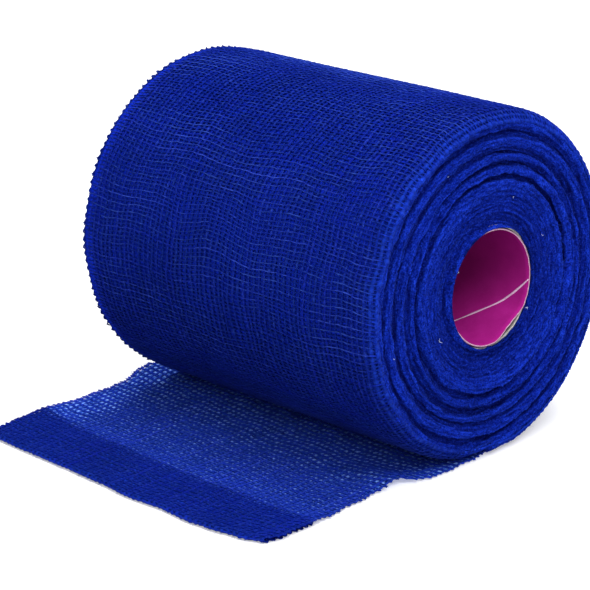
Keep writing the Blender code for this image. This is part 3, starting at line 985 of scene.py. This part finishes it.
def loose_end(material):
    rng = np.random.default_rng(9)
    w = Weave()
    first, last = -WEFTS_UNDER, WEFTS_OUT
    # warps
    m = np.linspace(first - 0.5, last + 0.5, (last - first) * 2 + 3)
    j = np.arange(WARPS)
    shape = (WARPS, len(m))
    mm = np.broadcast_to(m[None], shape)
    cc = np.broadcast_to((j / (WARPS - 1))[:, None], shape)
    crossing = np.cos(math.pi * (mm + j[:, None]))
    here, up = tail_frame(mm / 2, cc)
    centre = here + up * (0.06 * crossing + 0.02 * rng.normal(0, 1, shape))[..., None]
    centre[..., 1] += 0.05 * rng.normal(0, 1, shape)
    along = unit(np.gradient(centre, axis=1))
    side = unit(np.cross(along, up))
    open_here = 1 - 0.24 * tail_openness(here, cc)
    half_w = 0.56 * open_here * (1 + 0.12 * wander(61, mm, cc * 95, 7, 1.2) + 0.14 * rng.normal(0, 1, shape))
    half_w[0] *= 0.9
    half_w[-1] *= 0.9
    half_h = 0.18 * (1 + 0.08 * rng.normal(0, 1, shape))
    single = tail_single(here, cc, mm)
    opened = tail_openness(here, cc)
    # painted light: paler where it lies single, more where the weave is pulled open
    pale = (0.05 + (0.34 + 0.12 * opened) * single + 0.15 * rng.normal(0, 1, shape)).clip(0, 0.8)
    # the fold's edge is uneven
    centre[..., 0] -= 0.14 * np.abs(rng.normal(0, 1, shape)) * (1 - ramp(np.abs(mm), 0.3, 1.6))
    # painted highlight along the fold and where it lies single, more where pulled open; painted shade where it lies
    # double
    opened = 0.15 + 0.22 * opened
    painted_light_shade = (0.14 * (1 - ramp(np.abs(mm), 0.3, 1.6)) + opened * single) * (1 + 0.5 * rng.normal(0, 1, shape))
    painted_light_shade = painted_light_shade.clip(0, 1) - 0.13 * (1 - single) * ramp(np.abs(mm), 0.3, 1.6)
    w.tubes(centre, side, up, half_w, half_h, 4, rng.normal(0, 1, WARPS).clip(-2, 2), pale, -painted_light_shade, crest=0.06 + 0.14 * single)
    # wefts
    inner = np.linspace(0, WARPS - 1, (WARPS - 1) * 2 + 1)
    jj = np.concatenate([[-0.26, -0.15], inner, [WARPS - 0.85, WARPS - 0.74]])
    k = np.arange(first, last + 1)
    shape = (len(k), len(jj))
    hook = np.zeros(len(jj))
    hook[:2], hook[-2:] = (0.46, 0.2), (0.2, 0.46)
    left = np.where(k % 2 == 0, 1.0, -1.0)
    towards = np.where(jj < 10, 1.0, -1.0)
    mm = k[:, None] + left[:, None] * towards[None] * hook[None]
    loop = np.abs(rng.normal(0.8, 0.4, (len(k), 2))) * np.where(k % 2 == 0, 1.2, 0.8)[:, None]
    place = np.repeat(jj[None], len(k), 0)
    place[:, 0] -= 0.20 * loop[:, 0]
    place[:, 1] -= 0.10 * loop[:, 0]
    place[:, -2] += 0.10 * loop[:, 1]
    place[:, -1] += 0.20 * loop[:, 1]
    cc = place / (WARPS - 1)
    inside = np.clip(cc, 0, 1)
    # the threads lie in pairs where the weave is pulled open
    roomy = 0.10 + 0.12 * tail_openness(tail_point(mm / 2, inside), inside)
    mm = mm + np.where(k % 2 == 0, roomy.T, -roomy.T).T * (k > 0)[:, None]
    crossing = np.cos(math.pi * (jj[None] + k[:, None]))
    crossing[:, :2] *= 0.3
    crossing[:, -2:] *= 0.3
    light = (k % 2 == 0)[:, None]
    here, up = tail_frame(mm / 2, inside)
    here[..., 1] += (cc - inside) * 99.0
    centre = here + up * (np.where(light, 0.10, 0.04) - 0.06 * crossing + 0.02 * rng.normal(0, 1, shape))[..., None]
    centre[..., 0] += 0.05 * rng.normal(0, 1, shape)
    along = unit(np.gradient(centre, axis=1))
    side = unit(np.cross(along, up))
    open_here = 1 - 0.24 * tail_openness(here, cc)
    half_w = np.where(light, 0.31, 0.36) * open_here * (1 + 0.14 * wander(62, mm, cc * 95, 1.1, 9) + 0.16 * rng.normal(0, 1, shape))
    half_h = 0.16 * (1 + 0.08 * rng.normal(0, 1, shape))
    for part, more in ((slice(0, 3), (1.4, 1.4, 1.15)), (slice(-3, None), (1.15, 1.4, 1.4))):
        half_w[:, part] *= np.array(more)
        half_h[:, part] *= np.array(more)
    single = tail_single(here, inside, mm)
    # painted highlight along the upper line, stronger where it lies single
    crest = np.where(light, 0.22 + 0.26 * single, 0.10 + 0.12 * single) + 0.14 * rng.normal(0, 1, shape)
    opened = 0.15 + 0.22 * tail_openness(here, cc)
    # painted highlight along the fold and on the single layer, painted shade where it lies double
    painted_light_shade = (0.14 * (1 - ramp(np.abs(mm), 0.3, 1.6)) + opened * single) * (1 + 0.5 * rng.normal(0, 1, shape))
    painted_light_shade = painted_light_shade.clip(0, 1) - 0.13 * (1 - single) * ramp(np.abs(mm), 0.3, 1.6)
    w.tubes(centre, side, up, half_w, half_h, 3, rng.normal(0, 1, len(k)).clip(-2, 2), 0.04, -painted_light_shade, crest=crest.clip(0, 1))
    return w.make("loose_end_weave", material)


def loose_end_fuzz_and_painted_light(material):
    """A thin film of fine fibres between the yarns of the loose end, painted pale as light seen through where it lies
    single and open.
    """
    m = np.linspace(-WEFTS_UNDER / 2, WEFTS_OUT / 2, 101)
    c = np.linspace(0.004, 0.996, 50)
    shape = (len(m), len(c))
    mm = np.broadcast_to(m[:, None], shape)
    cc = np.broadcast_to(c[None], shape)
    here, up = tail_frame(mm, cc)
    faces = []
    for offset in (-0.05, -0.13):
        faces.append(here + up * offset)
    n = shape[0] * shape[1]
    points = np.concatenate([f.reshape(-1, 3) for f in faces])
    top = grid(faces[0])
    under = grid(faces[1])[:, ::-1] + n
    index = np.arange(n).reshape(shape)
    ring = np.concatenate([index[:, 0], index[-1, 1:], index[-2::-1, -1], index[0, -2:0:-1]])
    after = np.roll(ring, -1)
    rim = np.stack([ring, ring + n, after + n, after], -1)
    quads = np.concatenate([top, under, rim])
    single = tail_single(here, cc, mm)
    # painted light through the windows: where it lies single, more where pulled open
    opened = np.tile((single * (0.40 + 0.60 * tail_openness(here, cc))).reshape(-1), 2)
    f, g = np.linspace(0, 0.97, shape[0]), np.linspace(0, 0.46, shape[1])
    flat = np.stack(np.meshgrid(f, g, indexing="ij"), -1)
    spots = np.concatenate([flat.reshape(-1, 2), flat.reshape(-1, 2) + np.array((0.0, 0.49))])
    bake = spots[quads]
    strip = np.linspace(0, 0.97, len(ring) + 1)
    bake[-len(ring):, :, 0] = np.stack([strip[:-1], strip[:-1], strip[1:], strip[1:]], -1)
    bake[-len(ring):, :, 1] = (0.965, 0.985, 0.985, 0.965)
    return mesh(
        "loose_end_fuzz_and_painted_light", points, quads.ravel(), np.full(len(quads), 4), material,
        bake=bake.reshape(-1, 2), pale=opened,
    )


# ---------------------------------------------------------------- the core
def liner_radius(a, y):
    off = (np.degrees(a) - LINER_PULL_ANGLE + 180) % 360 - 180
    depth = 1 - ramp(y + CORE_HALF, 0.0, LINER_PULL_DEPTH)
    across = np.cos(np.clip(math.pi / 2 * off / LINER_PULL_SPREAD, -math.pi / 2, math.pi / 2)).clip(0, 1)
    return LINER_RADIUS - LINER_PULL * across**1.3 * depth


def ply(name, inner, wall, rings, paper, edge, rough, seed):
    """A paper tube: its two faces, and two cut rims with a little wear."""
    around = 144
    a = 2 * math.pi * np.arange(around) / around
    sections = []
    ys = np.array(rings, float)
    fray_near = rough * wander(seed, a * 14, a * 0, 3.0, 3.0) * 0.5
    fray_far = rough * wander(seed + 1, a * 14, a * 0, 3.0, 3.0) * 0.5
    def ring(y, out, ease=0.0):
        shift = np.zeros(around)
        if y == ys[0]:
            shift = -fray_near
        if y == ys[-1]:
            shift = fray_far
        r = inner(a, y * np.ones(around)) + out
        return np.stack([r * np.sin(a), y + shift + ease, AXIS_Z - r * np.cos(a)], -1)
    for y in ys:
        sections.append(ring(y, 0.0))
    sections.append(ring(ys[-1], wall * 0.5, 0.03))
    for y in ys[::-1]:
        sections.append(ring(y, wall))
    sections.append(ring(ys[0], wall * 0.5, -0.03))
    points = np.array(sections)
    n = len(ys)
    quads = grid(points, closed_u=True, closed_v=True)[:, ::-1]
    rim = {n - 1, n, 2 * n, 2 * n + 1}
    kind = np.zeros((len(points), around), int)
    for i in rim:
        kind[i % len(points)] = 1
    # rim rings: n-1 -> n -> n+1 at the far end, 2n -> 2n+1 -> 0 at the near end
    return mesh(name, points.reshape(-1, 3), quads.ravel(), np.full(len(quads), 4), [paper, edge], slots=kind.reshape(-1), smooth=True)


def core(board, board_edge, liner, liner_edge):
    made = []
    flat = np.linspace(-CORE_HALF + 0.6, CORE_HALF, 9)
    made.append(
        ply("core_board_ply", lambda a, y: BOARD_RADIUS + 0.04 * wander(71, a * 15, y, 14, 40), BOARD_WALL, flat, board, board_edge, 0.10, 72)
    )
    rings = np.concatenate([-CORE_HALF + np.array([0, 1.5, 4, 8, 13, 19, 26, 33]), np.linspace(-8, CORE_HALF, 5)])
    made.append(
        ply("core_liner_ply", lambda a, y: liner_radius(a, y), LINER_WALL, rings, liner, liner_edge, 0.07, 75)
    )
    return made


def seam(material):
    """The pale lip of the helical joint in the coloured ply, all along the bore."""
    turns = np.linspace(0, 1, 220)
    lead = 83.0
    last = 83.5
    y = -49.0 + turns * 97.9
    degrees = last - (y + 49.0) / lead * 360.0
    a = np.radians(degrees)
    r = liner_radius(a, y) - 0.045
    n = len(y)
    centre = np.stack([r * np.sin(a), y, AXIS_Z - r * np.cos(a)], -1)[None]
    up = -np.stack([np.sin(a), a * 0, -np.cos(a)], -1)[None]
    along = unit(np.gradient(centre, axis=1))
    side = unit(np.cross(along, up))
    wide = 0.26 + 0.04 * wander(81, y, y * 0, 6, 6)
    w = Weave()
    w.tubes(centre, side, up, wide[None], np.full((1, n), 0.06), 6, 0.0 * np.ones(1), 0.0 * np.ones(1))
    return w.make("core_liner_seam", material)


# ---------------------------------------------------------------- stray fibres
def fibres(name, roots, directions, lengths, curl, thick, material, seed, pale, points=3):
    """Short loose fibres, each a fine three-sided hair with a bend."""
    rng = np.random.default_rng(seed)
    n = len(roots)
    f = np.linspace(0, 1, points)
    bend = unit(rng.normal(0, 1, (n, 3))) * curl[:, None]
    centre = (
        roots[:, None]
        + directions[:, None] * (lengths[:, None] * f[None])[..., None]
        + bend[:, None] * (lengths[:, None] * f[None] ** 2)[..., None]
    )
    centre[..., 2] = np.maximum(centre[..., 2], 0.05)
    along = unit(np.gradient(centre, axis=1))
    help_axis = unit(rng.normal(0, 1, (n, 1, 3)))
    side = unit(np.cross(along, np.broadcast_to(help_axis, along.shape)))
    up = np.cross(side, along)
    size = thick * (1 - 0.6 * f)[None] * np.ones((n, 1))
    w = Weave()
    w.tubes(centre, side, up, size, size, 3, rng.normal(0, 1, n), pale * np.ones(n))
    return w.make(name, material)


def fluff(material):
    made = []
    rng = np.random.default_rng(17)
    # on the two end faces, thickest where the turns stand out
    for name, end, count in (("fluff_near_face", -1, 3000), ("fluff_far_face", 1, 900)):
        steps = NEAR_STEPS if end < 0 else FAR_STEPS
        share = np.sqrt(rng.uniform(0.352**2, 0.985**2, count * 4))
        a = rng.uniform(0, 2 * math.pi, count * 4)
        back = face_back(steps, share, a)
        keep = rng.uniform(0, 1, count * 4) < (1.15 - ramp(back, 0.1, 1.6))
        share, a, back = share[keep][:count], a[keep][:count], back[keep][:count]
        n = len(share)
        root = pressed(roll_radius_at(share, a), a, end * (ROLL_HALF - back - 0.1))
        out = np.stack([np.sin(a), a * 0, -np.cos(a)], -1)
        around = np.stack([np.cos(a), a * 0, np.sin(a)], -1)
        direction = unit(
            np.array((0, 1.0, 0)) * (end * rng.uniform(0.25, 0.9, n))[:, None]
            + out * rng.normal(0, 0.5, n)[:, None]
            + around * rng.normal(0, 0.7, n)[:, None]
        )
        made.append(fibres(name, root, direction, rng.uniform(0.4, 1.3, n), rng.uniform(0.2, 0.7, n), 0.035, material, 19 + end, 0.55))
    # on the outer turn
    n = 1700
    s, c = rng.uniform(3, 266, n), rng.uniform(0.0, 1.0, n)
    c[:420] = rng.uniform(0.992, 1.0, 420)
    centre, up = roll_points(s, c, 0.2 * np.ones(n))
    outwards = np.zeros((n, 3))
    outwards[:420, 1] = 0.7
    direction = unit(up * rng.uniform(0.15, 0.6, n)[:, None] + outwards + rng.normal(0, 0.7, (n, 3)))
    made.append(fibres("fluff_outer_turn", centre, direction, rng.uniform(0.5, 1.6, n), rng.uniform(0.2, 0.8, n), 0.032, material, 23, 0.6))
    # on the loose end, more of them along its selvedges and its fold
    n = 1300
    m = rng.uniform(-1, WEFTS_OUT / 2 - 4, n)
    c = rng.uniform(0, 1, n)
    c[:260] = rng.choice([0.0, 1.0], 260)
    m[260:630] = rng.uniform(-0.7, 0.7, 370)
    here, up = tail_frame(m, c)
    outwards = np.zeros((n, 3))
    outwards[:260, 1] = np.where(c[:260] > 0.5, 1.0, -1.0)
    outwards[260:630, 0] = -1.0
    direction = unit(up * rng.uniform(0.1, 0.5, n)[:, None] + outwards * 0.8 + rng.normal(0, 0.6, (n, 3)))
    made.append(fibres("fluff_loose_end", here + up * 0.2, direction, rng.uniform(0.4, 1.5, n), rng.uniform(0.2, 0.8, n), 0.032, material, 29, 0.6))
    return made


def lint(material):
    """Pale specks of paper and cotton caught on the -Y face and on the core's rim."""
    rng = np.random.default_rng(41)
    # share of the radius, angle, fibres, mm long
    spots = (
        (0.338, 56.4, 9, 0.40),
        (0.318, 19.6, 4, 0.30),
        (0.324, 239.2, 3, 0.30),
        (0.514, 157.6, 2, 0.45),
        (0.477, 114.3, 2, 0.25),
        (0.788, 205.4, 2, 0.45),
        (0.466, 294.4, 3, 0.60),
        (0.833, 282.2, 1, 0.70),
    )
    share = np.array([s for s, _, count, _ in spots for _ in range(count)])
    a = np.radians([d for _, d, count, _ in spots for _ in range(count)])
    long = np.array([size for _, _, count, size in spots for _ in range(count)])
    n = len(share)
    back = np.where(share < 0.35, 0.45, face_back(NEAR_STEPS, share, a))
    root = np.stack([share * ROLL_RADIUS * np.sin(a), -(ROLL_HALF - back + 0.30) * np.ones(n), AXIS_Z - share * ROLL_RADIUS * np.cos(a)], -1)
    root = root + 0.12 * rng.normal(0, 1, (n, 3))
    direction = unit(rng.normal(0, 1, (n, 3)) * np.array((1.0, 0.25, 1.0)) - np.array((0, 0.15, 0)))
    return fibres("lint", root, direction, long * rng.uniform(0.6, 1.2, n), rng.uniform(0.3, 0.9, n), 0.075, material, 43, 0.0, 5)


# ---------------------------------------------------------------- studio
def look_at_matrix(azimuth, elevation, roll):
    a, e, r = (math.radians(x) for x in (azimuth, elevation, roll))
    back = Vector((math.sin(a) * math.cos(e), -math.cos(a) * math.cos(e), math.sin(e)))
    right = Vector((math.cos(a), math.sin(a), 0))
    up = back.cross(right)
    right, up = (
        right * math.cos(r) + up * math.sin(r),
        -right * math.sin(r) + up * math.cos(r),
    )
    return Matrix((right, up, back)).transposed()


def camera():
    data = bpy.data.cameras.new("camera")
    data.sensor_fit = "HORIZONTAL"
    data.sensor_width = 36.0
    data.lens = 164.35
    data.shift_x = -0.0148
    data.shift_y = -0.0397
    data.clip_start = 0.02
    data.clip_end = 20.0
    made = bpy.data.objects.new("camera", data)
    bpy.context.scene.collection.objects.link(made)
    turn = look_at_matrix(-44.712, 19.001, -1.708)
    made.matrix_world = Matrix.Translation((-0.4429, -0.4538, 0.2583)) @ turn.to_4x4()
    bpy.context.scene.camera = made


def area_light(name, place, target, size, power, colour=(1, 1, 1)):
    data = bpy.data.lights.new(name, "AREA")
    data.shape = "RECTANGLE"
    data.size, data.size_y = size
    data.energy = power
    data.color = colour
    made = bpy.data.objects.new(name, data)
    bpy.context.scene.collection.objects.link(made)
    made.location = place
    made.rotation_euler = (Vector(target) - Vector(place)).to_track_quat("-Z", "Y").to_euler()
    return made


def studio():
    size = 3.0
    co = np.array([(-size, -size, 0), (size, -size, 0), (size, size, 0), (-size, size, 0)]) * 1000 - ORIGIN
    floor = mesh("floor", co, np.arange(4), np.array([4]), floor_material(), smooth=False)
    world = bpy.data.worlds.new("studio")
    world.use_nodes = True
    world.node_tree.nodes["Background"].inputs["Color"].default_value = (0.96, 0.98, 1.0, 1)
    world.node_tree.nodes["Background"].inputs["Strength"].default_value = 0.55
    bpy.context.scene.world = world
    area_light("key", (-0.12, -0.74, 1.0), (0.0, 0.0, 0.03), (0.7, 0.7), 11.0)
    area_light("top", (0.1, 0.1, 1.1), (0.02, 0.0, 0.04), (0.9, 0.9), 11.2)
    area_light("left", (-0.7, -0.5, 0.6), (0.02, 0.0, 0.04), (0.7, 0.5), 2.3)
    settings = bpy.context.scene.view_settings
    settings.view_transform = "Standard"
    settings.look = "None"
    settings.exposure = 0.0
    settings.gamma = 1.0


def main():
    camera()
    studio()
    cloth = yarn_material("dyed_gauze_yarn", rgb(0.0010, 0.0050, 0.115), rgb(0.0026, 0.0130, 0.240), rgb(0.030, 0.070, 0.40), 0.035)
    felt = felt_material()
    made = outer_turn(cloth)
    for piece in made:
        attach(piece, "root")
        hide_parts("bandage_roll")
    turns = wound_turns(under_turn_material())
    near = end_face("end_face_near", -1, 560, 134, felt, 101)
    far = end_face("end_face_far", 1, 400, 78, felt, 201)
    for piece in (turns, near, far):
        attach(piece, "root")
        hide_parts("bandage_roll")
    tail = loose_end(cloth)
    film_with_painted_light = loose_end_fuzz_and_painted_light(fuzz_and_painted_light_material())
    for piece in (tail, film_with_painted_light):
        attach(piece, "root")
        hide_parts("loose_end")
    paper = cut_edge_material("cut_paper", rgb(0.30, 0.10, 0.20), rgb(0.66, 0.46, 0.58))
    board_edge = cut_edge_material("cut_board", rgb(0.40, 0.38, 0.34), rgb(0.74, 0.71, 0.66))
    board, liner = core(board_material(), board_edge, liner_material(), paper)
    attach(board, "root")
    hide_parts("core_tube")
    lip = seam(cut_edge_material("seam_lip", rgb(0.60, 0.34, 0.56), rgb(0.80, 0.56, 0.76)))
    for piece in (liner, lip):
        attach(piece, "root")
        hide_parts("core_liner")
    strays = fluff(cloth)
    specks = lint(cut_edge_material("pale_lint", rgb(0.30, 0.38, 0.60), rgb(0.66, 0.72, 0.88)))
    for piece in strays + [specks]:
        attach(piece, "root")
    bpy.context.view_layer.update()
    triangles = 0
    for o in bpy.context.scene.objects:
        if o.type == "MESH" and not o.hide_render:
            n = sum(len(p.vertices) - 2 for p in o.data.polygons)
            triangles += n
            print("piece", o.name, n)
    print("triangles", triangles)


main()
